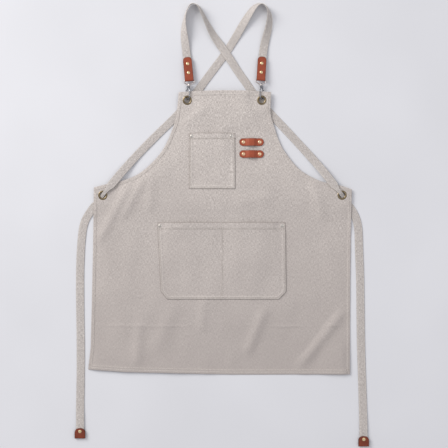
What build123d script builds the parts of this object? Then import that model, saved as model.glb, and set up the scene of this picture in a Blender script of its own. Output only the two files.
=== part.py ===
"""Artist smock apron: canvas body with pockets, cross-back straps, leather trim and snap hooks.

The apron lies flat, face up, on the plane z = 0.  +Y points from the hem to the bib and the strap
loops, +X to the right.  The skirt rests on the plane; the waist and the bib are lifted by the straps
and hooks that run behind them.
"""
import os
from math import cos, radians, sin, tan

from build123d import *

os.makedirs("parts", exist_ok=True)

# ---------------------------------------------------------------- cloth
CLOTH = 1.2                 # hemmed canvas
WAIST_MID = 5.8             # height of the cloth's middle at the waist and lower bib
TOP_MID = 9.0               # the same along the top of the bib, where the hooks pass through
GATHER_LIFT = 1.2           # lift under the mouth of the large pocket, for its rivets
LIFT_LINE = [               # underside of the body panel, as (y, z) from the hem to the bib top
    (-395.0, 0.0),
    (-30.0, 0.0),
    (-14.0, GATHER_LIFT),
    (12.0, GATHER_LIFT),
    (55.0, WAIST_MID - CLOTH / 2),
    (262.0, WAIST_MID - CLOTH / 2),
    (300.0, TOP_MID - CLOTH / 2),
    (355.0, TOP_MID - CLOTH / 2),
]

PANEL_SPAN = 800.0          # wider than the panel
PANEL_DEPTH = 40.0          # deeper than its lift
SLIT = 0.06                 # hairline gap between two lengths of cloth
PANEL_CUTS = [92.5, 139.0, 191.0, 262.0]    # slits across the panel, so that each length is nearly convex

# body panel outline, clockwise from the left waist corner
LEFT_ARMHOLE = [
    (-331.9, 97.1), (-299.1, 105.4), (-254.4, 115.6), (-206.6, 138.5), (-155.9, 190.7),
    (-124.9, 257.3), (-116.4, 296.8), (-111.7, 343.6),
]
RIGHT_ARMHOLE = [
    (128.1, 343.9), (126.5, 291.1), (134.6, 260.1), (148.6, 218.0), (165.5, 186.8),
    (203.2, 142.6), (256.2, 113.5), (309.3, 101.5), (337.1, 91.9),
]
BIB_TOP_MIDDLE = (8.2, 348.3)
SKIRT_EDGE = [              # from the right waist corner round the hem to the left one
    (337.1, 91.9), (335.3, -23.0), (333.7, -162.1), (332.7, -388.6), (30.3, -389.4),
    (-251.8, -382.6), (-347.2, -375.8), (-340.5, -319.4), (-334.2, -35.8), (-331.9, 97.1),
]

# ---------------------------------------------------------------- pockets
POCKET_RISE = 5.8           # how far a pocket's front stands off the panel
SEAM = 13.0                 # sewn margin at a pocket's sides
FOOT_SEAM = 9.0             # sewn margin at its bottom
SLOPE_ANGLE = 50.0          # slope of the pocket front's sides, from vertical
BAY_CORNER = 6.0            # corner radius of a pocket's standing front
MOUTH_REACH = 40.0          # how far a bay runs past the mouth before the mouth is cut
DIVIDER_SEAM = 3.0          # sewn margin each side of the divider
CHEST_POCKET = [(-84.6, 237.5), (34.5, 237.5), (34.5, 93.2), (-84.6, 93.2)]
LARGE_POCKET = [
    (-167.8, 6.1), (165.5, 6.1), (167.1, -173.3), (148.6, -193.5),
    (-142.0, -193.0), (-158.2, -173.3),
]
DIVIDER_X = 1.4

# ---------------------------------------------------------------- leather
LOOP_LENGTH = 63.4
LOOP_WIDTH = 19.5
LOOP_LEATHER = 2.0
LOOP_RISE = 4.5             # space under it, for a handle
LOOP_BOW = 15.0             # half length of the raised middle, with its flanks
LOOP_FLAT = 6.5             # half length of its level part
LOOP_BEND = 5.0             # radius of the bends between them
LOOP_CENTRES = {"upper_tool_loop": (77.1, 214.2), "lower_tool_loop": (77.2, 183.3)}
LOOP_RIVET = 21.1           # rivets from the loop's centre

TAB_WIDTH = 22.6
TAB_LENGTH = 63.0
TAB_LEATHER = 1.8
TAB_CORNER = 9.0
TAB_PITCH = 4.5             # slope of the tabs, down from the eye to the floor, in degrees
TAB_RIVETS = (18.6, 42.5)   # from the eye bar
TIP_WIDTH = 27.4
TIP_LENGTH = 27.0
TIP_LEATHER = 1.6
TIP_CORNER = 11.5
TIP_MID = 3.6
TIP_ENDS = {"left_tie_tip": (-368.2, -554.7), "right_tie_tip": (368.2, -575.35)}
TIP_RIVET = 16.2            # from the fold
LAYER_GAP = 2.0             # between two leather layers, for the strap
BAR_PLAY = 0.15             # between the eye bar and the leather folded over it
FOLD_NECK = 8.0             # from the fold to where the two layers lie parallel
FOLD_REACH = 10.0           # how far the outline runs past the fold

# ---------------------------------------------------------------- eyelets and rivets
EYELET_HOLE = 7.3
EYELET_BARREL = 8.0
EYELET_RIM = 12.2
EYELET_FLANGE = 1.0
EYELET_ROLL = 0.2           # how far the barrel's end stays inside the washer
FIT_GAP = 0.05
BIB_EYELETS = {"left": (-89.6, 322.3), "right": (103.4, 322.5)}
WAIST_EYELETS = {"left": (-308.8, 76.3), "right": (311.9, 76.8)}
POST = 1.4                  # radius of a rivet's post
CAP_RISE = 1.3
CAP_EDGE = 0.35
BACK_RISE = 0.9
BACK_CAP = 3.6
BACK_CHAMFER = 0.25
LOOP_CAP = 4.4
TAB_CAP = 3.8
TIP_CAP = 4.2
POCKET_CAP = 4.4
CHEST_RIVETS = [(-77.5, 229.7), (24.5, 230.0)]
LARGE_RIVETS = [(-160.0, -2.6), (156.6, -3.0)]

# ---------------------------------------------------------------- straps
STRAP_WIDTH = 20.8
STRAP_THICKNESS = 1.7
SQUEEZED_WIDTH = 9.4        # gathered inside a waist eyelet
SQUEEZED_THICKNESS = 2.8
SQUEEZE_REACH = 14.0        # fully gathered within this distance of the eyelet
SPREAD_REACH = 38.0         # full width again beyond this distance
STATION_STEP = 11.0         # length between two cross-sections
EYELET_STEP = 3.5           # the same where the strap goes through its eyelet
STRAP_CUTS = (3, 5, 7, 8, 10, 12, 15, 18, 20, 22, 24, 25, 27, 28, 31)   # route points with a slit across
CUT_CLEAR = 20              # no cross-section within this many half slits of a slit
EYELET_REACH = 22.0

# each point is x, y, z and the roll of the strap's width out of the floor plane, in degrees
LEFT_STRAP = [
    (-85.3, 384.0, 8.28, 0), (-88.3, 414.0, 5.91, 0), (-91.8, 447.0, 3.3, 0),
    (-96.5, 480.0, 4.8, 18), (-99.0, 508.0, 9.2, 48), (-97.2, 533.0, 11.0, 72),
    (-91.5, 555.0, 12.0, 82), (-81.0, 573.0, 12.0, 82), (-62.5, 571.0, 12.0, 76),
    (-49.5, 546.0, 10.9, 62), (-36.5, 518.5, 9.0, 48), (-21.0, 489.0, 5.8, 24),
    (-2.5, 464.5, 3.5, 2), (23.5, 426.5, 3.5, 0), (40.5, 399.5, 1.6, 0),
    (64.0, 367.0, 1.15, 0), (92.0, 326.5, 1.1, 0), (128.0, 287.0, 1.1, 0),
    (167.5, 245.0, 1.3, 0), (209.0, 200.5, 1.7, 0), (240.0, 166.0, 3.4, 0),
    (262.0, 139.5, 8.2, 0), (283.0, 113.0, 9.2, 0), (297.5, 94.5, 9.9, 0),
    (307.0, 83.4, 10.7, 0), (316.3, 70.4, 1.4, 0), (324.5, 57.5, 1.5, 0),
    (344.0, 30.0, 1.2, 0), (355.0, -2.0, 1.1, 0), (356.5, -66.0, 1.1, 0),
    (359.6, -140.0, 1.05, 0), (360.4, -232.0, 1.1, 0), (361.6, -322.0, 1.05, 0),
    (364.8, -414.0, 1.1, 0), (367.0, -489.0, 1.4, 0), (367.9, -532.0, 3.6, 0),
    (368.2, -569.8, 3.6, 0),
]
RIGHT_STRAP = [
    (101.8, 385.0, 8.3, 0), (103.7, 415.0, 5.93, 0), (106.8, 448.0, 3.33, 0),
    (112.5, 478.0, 4.2, -12), (121.5, 510.0, 6.5, -26), (125.0, 539.0, 9.5, -46),
    (119.5, 561.0, 11.5, -76), (105.0, 574.3, 11.5, -80), (86.5, 568.0, 9.5, -52),
    (70.0, 545.5, 6.8, -30), (52.0, 515.0, 3.4, -11), (35.0, 485.0, 1.6, -2),
    (12.5, 448.5, 1.05, 0), (-17.5, 408.5, 1.1, 0), (-38.5, 381.0, 1.1, 0),
    (-62.0, 348.5, 1.1, 0), (-90.0, 313.0, 1.1, 0), (-122.5, 277.5, 1.1, 0),
    (-167.0, 235.0, 1.3, 0), (-211.5, 190.0, 1.7, 0), (-238.5, 160.5, 3.6, 0),
    (-258.8, 137.0, 8.2, 0), (-279.6, 112.0, 9.2, 0), (-293.8, 94.8, 9.9, 0),
    (-303.7, 83.1, 10.7, 0), (-313.9, 70.2, 1.4, 0), (-323.2, 58.2, 1.5, 0),
    (-343.0, 33.0, 1.2, 0), (-359.5, 4.0, 1.1, 0), (-365.8, -48.0, 1.1, 0),
    (-368.8, -125.0, 1.05, 0), (-368.2, -215.0, 1.1, 0), (-366.6, -310.0, 1.05, 0),
    (-366.8, -400.0, 1.1, 0), (-368.4, -470.0, 1.4, 0), (-367.9, -513.0, 3.6, 0),
    (-368.2, -549.5, 3.6, 0),
]

# ---------------------------------------------------------------- snap hooks
WIRE = 1.4                  # radius of the hook's wire
HOOK_BEND = 5.2             # radius of the bend, and half the distance between its arms
ARM_TOP = 22.0
TIP_TOP = 14.0
BOLT = 1.2
BOLT_FOOT = 15.6
BOLT_TOP = 27.5
BOLT_TRAVEL = 4.5
GUIDE_WALL = 2.0
GUIDE_BORE = 1.3
GUIDE_FOOT = 24.0
GUIDE_TOP = 34.2
STUD_LEVEL = 22.1
SHANK = 1.5
BOSS = 3.6
BOSS_FOOT = 34.4
BOSS_TOP = 38.4
HEAD_TOP = 40.3
EYE_HALF = 12.7
EYE_WIRE = 1.25
SHOULDER_DROP = 6.5
EYE_NECK = 2.0              # half width of the eye's wire where it meets the boss
EYE_CORNERS = (1.6, 1.6, 3.0, 0.8, 0.8, 3.0)
SHANK_FOOT = 32.0
HEAD_FOOT = BOSS_TOP + 0.2
HEAD = 2.6
WEB = 1.6                   # half thickness of the hook's body plate
WEB_OUTLINE = [
    (0, GUIDE_TOP), (3.2, 33.2), (3.2, 29.5), (0, 27.4), (-HOOK_BEND, 26.4), (-HOOK_BEND, 33.6),
]
HOOK_LINE = [
    (0, 33.0), (0, 29.0), (HOOK_BEND, ARM_TOP), (HOOK_BEND, 0), (-HOOK_BEND, 0), (-HOOK_BEND, TIP_TOP),
]
HOOK_CORNERS = (2.0, 5.0, HOOK_BEND - 0.1, HOOK_BEND - 0.1)
GUIDE_END = 0.5             # wall left at the closed end of the guide
SLOT_WIDTH = 2.5            # slot in the guide for the stud's stem
SLOT_LENGTH = 5.6
SLOT_DEPTH = 6.0
STEM = 0.9
STEM_LENGTH = 3.6
STUD = 1.6
STUD_THICKNESS = 1.0
STUD_REACH = 2.6
COIL_OUTER = 1.15
COIL_INNER = 0.75
COIL_LENGTH = 1.5
COIL_PLAY = 0.1
# hook bend, eye bar, direction of the tab and tilt of the front arm out of the floor plane
SNAPS = {
    "left": ((-88.2, 325.2), (-84.4, 374.9), (-6.0, 62.9), 45.0),
    "right": ((103.1, 326.4), (101.2, 376.1), (3.9, 64.8), 135.0),
}


def save(part, name):
    """Label a finished piece and write it."""
    part.label = name
    export_step(part, f"parts/{name}.step")


def lifted(line, by):
    """The underside line of the panel, raised by the given height."""
    return [(y, z + by) for y, z in line]


def layer_profile(bottom, top):
    """Closed (y, z) outline of a cloth layer between two heights above the panel's underside."""
    return lifted(LIFT_LINE, bottom) + list(reversed(lifted(LIFT_LINE, top)))


def plan(x, y):
    """A vector in the floor plane."""
    return Vector(x, y, 0)


# ---------------------------------------------------------------- body panel
with BuildPart() as front_panel:
    with BuildSketch():
        with BuildLine():
            Spline(*LEFT_ARMHOLE)
            Spline(LEFT_ARMHOLE[-1], BIB_TOP_MIDDLE, RIGHT_ARMHOLE[0])
            Spline(*RIGHT_ARMHOLE)
            Polyline(*SKIRT_EDGE)
        make_face()
        with Locations(*BIB_EYELETS.values(), *WAIST_EYELETS.values()):
            Circle(EYELET_BARREL + FIT_GAP, mode=Mode.SUBTRACT)
        rivet_places = CHEST_RIVETS + LARGE_RIVETS
        for loop_x, loop_y in LOOP_CENTRES.values():
            rivet_places = rivet_places + [(loop_x - LOOP_RIVET, loop_y), (loop_x + LOOP_RIVET, loop_y)]
        with Locations(*rivet_places):
            Circle(POST + FIT_GAP, mode=Mode.SUBTRACT)
    extrude(amount=PANEL_DEPTH)
    with BuildSketch(Plane.YZ.offset(-PANEL_SPAN / 2)):
        with BuildLine():
            Polyline(*layer_profile(0, CLOTH), close=True)
        make_face()
    extrude(amount=PANEL_SPAN, mode=Mode.INTERSECT)
    with Locations(*[(0, cut_y) for cut_y in PANEL_CUTS]):
        Box(PANEL_SPAN, SLIT, PANEL_DEPTH, mode=Mode.SUBTRACT)
save(front_panel.part, "front_panel")


# ---------------------------------------------------------------- pockets
def pocket(outline, bays, mouth_y, foot_y, rivets, base_z):
    """A patch sewn on three sides, with a front that stands off the panel in each bay."""
    with BuildPart() as patch:
        with BuildSketch():
            with BuildLine():
                Polyline(*outline, close=True)
            make_face()
            with Locations(*rivets):
                Circle(POST + FIT_GAP, mode=Mode.SUBTRACT)
        extrude(amount=PANEL_DEPTH)
        with BuildSketch(Plane.YZ.offset(-PANEL_SPAN / 2)):
            with BuildLine():
                Polyline(*layer_profile(CLOTH, 2 * CLOTH), close=True)
            make_face()
        extrude(amount=PANEL_SPAN, mode=Mode.INTERSECT)
        beyond = mouth_y + MOUTH_REACH
        for shrink, mode in ((0, Mode.ADD), (CLOTH, Mode.SUBTRACT)):
            for low_x, high_x in bays:
                with BuildSketch(Plane.XY.offset(base_z)):
                    with Locations(((low_x + high_x) / 2, (foot_y + beyond) / 2)):
                        RectangleRounded(
                            high_x - low_x - 2 * shrink,
                            beyond - foot_y - 2 * shrink,
                            BAY_CORNER,
                        )
                extrude(amount=CLOTH + POCKET_RISE - shrink, taper=SLOPE_ANGLE, mode=mode)
        with BuildSketch(Plane.XY):
            with Locations((0, mouth_y + MOUTH_REACH)):
                Rectangle(PANEL_SPAN, 2 * MOUTH_REACH)
        extrude(amount=PANEL_DEPTH, mode=Mode.SUBTRACT)
        with BuildSketch(Plane.YZ.offset(-PANEL_SPAN / 2)):
            with BuildLine():
                Polyline(
                    (LIFT_LINE[0][0], -PANEL_DEPTH),
                    *lifted(LIFT_LINE, CLOTH),
                    (LIFT_LINE[-1][0], -PANEL_DEPTH),
                    close=True,
                )
            make_face()
        extrude(amount=PANEL_SPAN, mode=Mode.SUBTRACT)
    return patch.part


chest_left, chest_right = CHEST_POCKET[0][0], CHEST_POCKET[1][0]
chest_top, chest_foot = CHEST_POCKET[0][1], CHEST_POCKET[2][1]
save(
    pocket(
        CHEST_POCKET,
        [(chest_left + SEAM, chest_right - SEAM)],
        chest_top,
        chest_foot + FOOT_SEAM,
        CHEST_RIVETS,
        WAIST_MID + CLOTH / 2,
    ),
    "chest_pocket",
)
save(
    pocket(
        LARGE_POCKET,
        [
            (LARGE_POCKET[5][0] + SEAM, DIVIDER_X - DIVIDER_SEAM),
            (DIVIDER_X + DIVIDER_SEAM, LARGE_POCKET[1][0] - SEAM),
        ],
        LARGE_POCKET[0][1],
        LARGE_POCKET[3][1] + FOOT_SEAM,
        LARGE_RIVETS,
        CLOTH,
    ),
    "large_pocket",
)

# ---------------------------------------------------------------- tool loops
panel_top = WAIST_MID + CLOTH / 2
for loop_name, (loop_x, loop_y) in LOOP_CENTRES.items():
    with BuildPart() as tool_loop:
        side = Plane(origin=(loop_x, loop_y + LOOP_WIDTH, panel_top), x_dir=(1, 0, 0), z_dir=(0, -1, 0))
        half = LOOP_LENGTH / 2
        with BuildSketch(side) as loop_side:
            with BuildLine():
                Polyline(
                    (-half, 0), (-LOOP_BOW, 0), (-LOOP_FLAT, LOOP_RISE),
                    (LOOP_FLAT, LOOP_RISE), (LOOP_BOW, 0), (half, 0),
                    (half, LOOP_LEATHER), (LOOP_BOW, LOOP_LEATHER), (LOOP_FLAT, LOOP_RISE + LOOP_LEATHER),
                    (-LOOP_FLAT, LOOP_RISE + LOOP_LEATHER), (-LOOP_BOW, LOOP_LEATHER), (-half, LOOP_LEATHER),
                    close=True,
                )
            make_face()
            bends = [corner for corner in loop_side.vertices() if abs(corner.X) < LOOP_BOW + 1]
            fillet(bends, radius=LOOP_BEND)
        extrude(amount=2 * LOOP_WIDTH)
        with BuildSketch(Plane.XY):
            with Locations((loop_x, loop_y)):
                SlotOverall(LOOP_LENGTH, LOOP_WIDTH)
            with Locations((loop_x - LOOP_RIVET, loop_y), (loop_x + LOOP_RIVET, loop_y)):
                Circle(POST + FIT_GAP, mode=Mode.SUBTRACT)
        extrude(amount=PANEL_DEPTH, mode=Mode.INTERSECT)
    save(tool_loop.part, loop_name)


# ---------------------------------------------------------------- eyelets
def eyelet(x, y, mid):
    """Barrel with a domed front flange, set through the cloth."""
    half = CLOTH / 2
    end = -half - EYELET_FLANGE + EYELET_ROLL
    with BuildPart() as ring:
        with BuildSketch(Plane(origin=(x, y, mid), x_dir=(1, 0, 0), z_dir=(0, -1, 0))):
            with BuildLine():
                Polyline(
                    (EYELET_HOLE, half),
                    (EYELET_HOLE, end),
                    (EYELET_BARREL, end),
                    (EYELET_BARREL, half),
                    (EYELET_RIM, half),
                )
                ThreePointArc(
                    (EYELET_RIM, half),
                    ((EYELET_RIM + EYELET_HOLE) / 2, half + EYELET_FLANGE),
                    (EYELET_HOLE, half),
                )
            make_face()
        revolve(axis=Axis((x, y, 0), (0, 0, 1)))
    return ring.part


def washer(x, y, mid):
    """Ring behind the cloth that the barrel is rolled over."""
    back = -CLOTH / 2
    inner = EYELET_BARREL + FIT_GAP
    with BuildPart() as ring:
        with BuildSketch(Plane(origin=(x, y, mid), x_dir=(1, 0, 0), z_dir=(0, -1, 0))):
            with BuildLine():
                Line((inner, back), (EYELET_RIM, back))
                ThreePointArc(
                    (EYELET_RIM, back),
                    ((EYELET_RIM + inner) / 2, back - EYELET_FLANGE),
                    (inner, back),
                )
            make_face()
        revolve(axis=Axis((x, y, 0), (0, 0, 1)))
    return ring.part


for group, places, mid in (("bib", BIB_EYELETS, TOP_MID), ("waist", WAIST_EYELETS, WAIST_MID)):
    for side_name, (x, y) in places.items():
        save(eyelet(x, y, mid), f"{group}_eyelet_{side_name}")
        save(washer(x, y, mid), f"{group}_washer_{side_name}")


# ---------------------------------------------------------------- rivets
def rivet_caps(planes, radius, grip):
    """Domed caps with posts; each plane lies on the front face and grip is the depth to the back face."""
    dome = CAP_RISE - CAP_EDGE
    sphere = (radius**2 + dome**2) / (2 * dome)
    half_way = CAP_RISE - sphere + (sphere**2 - radius**2 / 4) ** 0.5
    with BuildPart() as caps:
        for face in planes:
            with BuildSketch(Plane(origin=face.origin, x_dir=face.x_dir, z_dir=-face.y_dir)):
                with BuildLine():
                    Polyline((0, CAP_RISE), (0, 0), (radius, 0), (radius, CAP_EDGE))
                    ThreePointArc((radius, CAP_EDGE), (radius / 2, half_way), (0, CAP_RISE))
                make_face()
            revolve(axis=Axis(face.origin, face.z_dir))
            with BuildSketch(face.offset(-grip)):
                Circle(POST)
            extrude(amount=grip)
    return caps.part


def rivet_backs(planes, grip):
    """Flat closing caps on the back faces."""
    with BuildPart() as backs:
        for face in planes:
            with BuildSketch(face.offset(-grip)):
                Circle(BACK_CAP)
            extrude(amount=-BACK_RISE)
        rims = [cap.edges().filter_by(GeomType.CIRCLE).sort_by(Axis.Z)[0] for cap in backs.solids()]
        chamfer(rims, BACK_CHAMFER)
    return backs.part


loop_faces = [
    Plane(origin=(loop_x + shift, loop_y, panel_top + LOOP_LEATHER))
    for loop_x, loop_y in LOOP_CENTRES.values()
    for shift in (-LOOP_RIVET, LOOP_RIVET)
]
save(rivet_caps(loop_faces, LOOP_CAP, LOOP_LEATHER + CLOTH), "loop_rivet_caps")
save(rivet_backs(loop_faces, LOOP_LEATHER + CLOTH), "loop_rivet_backs")

pocket_faces = [Plane(origin=(x, y, panel_top + CLOTH)) for x, y in CHEST_RIVETS]
pocket_faces = pocket_faces + [Plane(origin=(x, y, GATHER_LIFT + 2 * CLOTH)) for x, y in LARGE_RIVETS]
save(rivet_caps(pocket_faces, POCKET_CAP, 2 * CLOTH), "pocket_rivet_caps")
save(rivet_backs(pocket_faces, 2 * CLOTH), "pocket_rivet_backs")


# ---------------------------------------------------------------- folded leather
def folded_leather(plane, length, width, corner, leather, bar, rivets):
    """A strip folded over a bar at the plane's origin; the layers run along the plane's y axis."""
    inner = LAYER_GAP / 2
    fold = max(bar + BAR_PLAY, inner)
    neck = FOLD_NECK
    with BuildPart() as folded:
        side_plane = Plane(origin=plane.origin, x_dir=plane.y_dir, z_dir=plane.x_dir)
        with BuildSketch(side_plane.offset(-width / 2)):
            with BuildLine():
                ThreePointArc((0, fold), (-fold, 0), (0, -fold))
                Polyline((0, -fold), (neck, -inner), (length, -inner), (length, -inner - leather))
                Polyline((length, -inner - leather), (neck, -inner - leather), (0, -fold - leather))
                ThreePointArc((0, -fold - leather), (-fold - leather, 0), (0, fold + leather))
                Polyline((0, fold + leather), (neck, inner + leather), (length, inner + leather))
                Polyline((length, inner + leather), (length, inner), (neck, inner), (0, fold))
            make_face()
        extrude(amount=width)
        with BuildSketch(plane.offset(-PANEL_DEPTH / 2)):
            with BuildLine():
                FilletPolyline(
                    (-width / 2, -FOLD_REACH),
                    (-width / 2, length),
                    (width / 2, length),
                    (width / 2, -FOLD_REACH),
                    radius=corner,
                )
                Line((width / 2, -FOLD_REACH), (-width / 2, -FOLD_REACH))
            make_face()
            with Locations(*[(0, level) for level in rivets]):
                Circle(POST + FIT_GAP, mode=Mode.SUBTRACT)
        extrude(amount=PANEL_DEPTH, mode=Mode.INTERSECT)
    return folded.part


def tab_plane(bar, heading):
    """The mid-plane of a tab: x across it, y from the eye bar to its domed end."""
    along = plan(*heading).normalized()
    across = Vector(along.Y, -along.X, 0)
    pitch = radians(TAB_PITCH)
    slope = along * cos(pitch) - Vector(0, 0, 1) * sin(pitch)
    return Plane(origin=(bar[0], bar[1], TOP_MID), x_dir=across, z_dir=across.cross(slope))


tab_faces = []
tab_planes = {}
tab_surface = LAYER_GAP / 2 + TAB_LEATHER
for side_name, (bend, bar, heading, tilt) in SNAPS.items():
    tab_planes[side_name] = tab_plane(bar, heading)
    tab_length = TAB_LENGTH - EYE_WIRE - TAB_LEATHER
    tab = folded_leather(
        tab_planes[side_name], tab_length, TAB_WIDTH, TAB_CORNER, TAB_LEATHER, EYE_WIRE, TAB_RIVETS
    )
    save(tab, f"{side_name}_tab")
    for level in TAB_RIVETS:
        spot = tab_planes[side_name].from_local_coords((0, level, tab_surface))
        facing = tab_planes[side_name]
        tab_faces.append(Plane(origin=spot, x_dir=facing.x_dir, z_dir=facing.z_dir))
save(rivet_caps(tab_faces, TAB_CAP, 2 * tab_surface), "tab_rivet_caps")
save(rivet_backs(tab_faces, 2 * tab_surface), "tab_rivet_backs")

tip_faces = []
tip_planes = {}
tip_surface = LAYER_GAP / 2 + TIP_LEATHER
for tip_name, (x, y) in TIP_ENDS.items():
    fold_y = y + LAYER_GAP / 2 + TIP_LEATHER
    tip_planes[tip_name] = Plane(origin=(x, fold_y, TIP_MID), x_dir=(1, 0, 0), z_dir=(0, 0, 1))
    tip_length = TIP_LENGTH - LAYER_GAP / 2 - TIP_LEATHER
    tip = folded_leather(
        tip_planes[tip_name], tip_length, TIP_WIDTH, TIP_CORNER, TIP_LEATHER, 0, (TIP_RIVET,)
    )
    save(tip, tip_name)
    tip_faces.append(Plane(origin=(x, fold_y + TIP_RIVET, TIP_MID + tip_surface)))
save(rivet_caps(tip_faces, TIP_CAP, 2 * tip_surface), "tip_rivet_caps")
save(rivet_backs(tip_faces, 2 * tip_surface), "tip_rivet_backs")


# ---------------------------------------------------------------- straps
def smoothest_radii(points):
    """For each corner, the radius that uses 0.45 of its shorter run."""
    radii = []
    for before, corner, after in zip(points, points[1:], points[2:]):
        run_in = corner - before
        run_out = after - corner
        turn = radians(run_in.get_angle(run_out))
        radii.append(0.45 * min(run_in.length, run_out.length) / tan(turn / 2))
    return radii


def strap_section(distance):
    """Width and thickness of the strap at a distance from its waist eyelet."""
    spread = (distance - SQUEEZE_REACH) / (SPREAD_REACH - SQUEEZE_REACH)
    spread = min(max(spread, 0), 1)
    spread = spread * spread * (3 - 2 * spread)
    width = SQUEEZED_WIDTH + (STRAP_WIDTH - SQUEEZED_WIDTH) * spread
    thickness = SQUEEZED_THICKNESS + (STRAP_THICKNESS - SQUEEZED_THICKNESS) * spread
    return width, thickness


def station_shares(path, hole):
    """Places of the cross-sections along the path, from 0 to 1, closer together at the eyelet."""
    shares = [0]
    while shares[-1] < 1:
        near = (path.position_at(shares[-1]) - hole).length < EYELET_REACH
        step = EYELET_STEP if near else STATION_STEP
        shares.append(shares[-1] + step / path.length)
    if 1 - shares[-2] < 0.5 * STATION_STEP / path.length:
        shares.pop()
    shares[-1] = 1
    return shares


def strap(name, route, eyelet_place, holes):
    """A flat canvas strap: rectangular sections that turn with the route's roll."""
    points = [Vector(x, y, z) for x, y, z, roll in route]
    radii = smoothest_radii(points)
    with BuildLine(mode=Mode.PRIVATE) as path_line:
        FilletPolyline(*points, radius=radii)
    path = path_line.wire()
    runs = [(after - before).length for before, after in zip(points, points[1:])]
    total = sum(runs)
    reached = 0
    shares = [0]
    for run in runs:
        reached = reached + run
        shares.append(reached / total)
    hole = Vector(*eyelet_place, WAIST_MID)
    gap = SLIT / 2 / path.length
    stations = station_shares(path, hole)
    cuts = [shares[rank] for rank in STRAP_CUTS]
    starts = [0] + [cut + gap for cut in cuts]
    ends = [cut - gap for cut in cuts] + [1]
    with BuildPart() as band:
        for start, end in zip(starts, ends):
            inner = [share for share in stations if start + CUT_CLEAR * gap < share < end - CUT_CLEAR * gap]
            for share in [start, *inner, end]:
                place = path.position_at(share)
                heading = path.tangent_at(share)
                rank = max(k for k in range(len(shares) - 1) if shares[k] <= share)
                within = (share - shares[rank]) / (shares[rank + 1] - shares[rank])
                roll = radians(route[rank][3] + (route[rank + 1][3] - route[rank][3]) * within)
                level = heading.cross(Vector(0, 0, 1)).normalized()
                across = level * cos(roll) + level.cross(heading) * sin(roll)
                width, thickness = strap_section((place - hole).length)
                with BuildSketch(Plane(origin=place, x_dir=across, z_dir=heading)):
                    Rectangle(width, thickness)
            loft(ruled=True)
        for face in holes:
            with BuildSketch(face.offset(-PANEL_DEPTH / 2)):
                Circle(POST + FIT_GAP)
            extrude(amount=PANEL_DEPTH, mode=Mode.SUBTRACT)
    print(name, "length", round(path.length))
    save(band.part, name)


strap("left_strap", LEFT_STRAP, WAIST_EYELETS["right"], tab_faces[:2] + tip_faces[1:])
strap("right_strap", RIGHT_STRAP, WAIST_EYELETS["left"], tab_faces[2:] + tip_faces[:1])


# ---------------------------------------------------------------- snap hooks
def snap_planes(bend, bar, tilt):
    """The hook's own plane, x towards the front arm and y along the hook, and the flat plane of the eye."""
    base = Vector(bend[0], bend[1], TOP_MID)
    along = (plan(*bar) - plan(*bend)).normalized()
    flat = Vector(along.Y, -along.X, 0)
    front = flat * cos(radians(tilt)) + Vector(0, 0, 1) * sin(radians(tilt))
    return Plane(origin=base, x_dir=front, z_dir=front.cross(along)), Plane(origin=base, x_dir=flat)


def ring_plane(hook_plane, x, level):
    """A plane across the hook's length at the given level, centred on x."""
    spot = hook_plane.from_local_coords((x, level, 0))
    return Plane(origin=spot, x_dir=hook_plane.x_dir, z_dir=hook_plane.y_dir)


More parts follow.
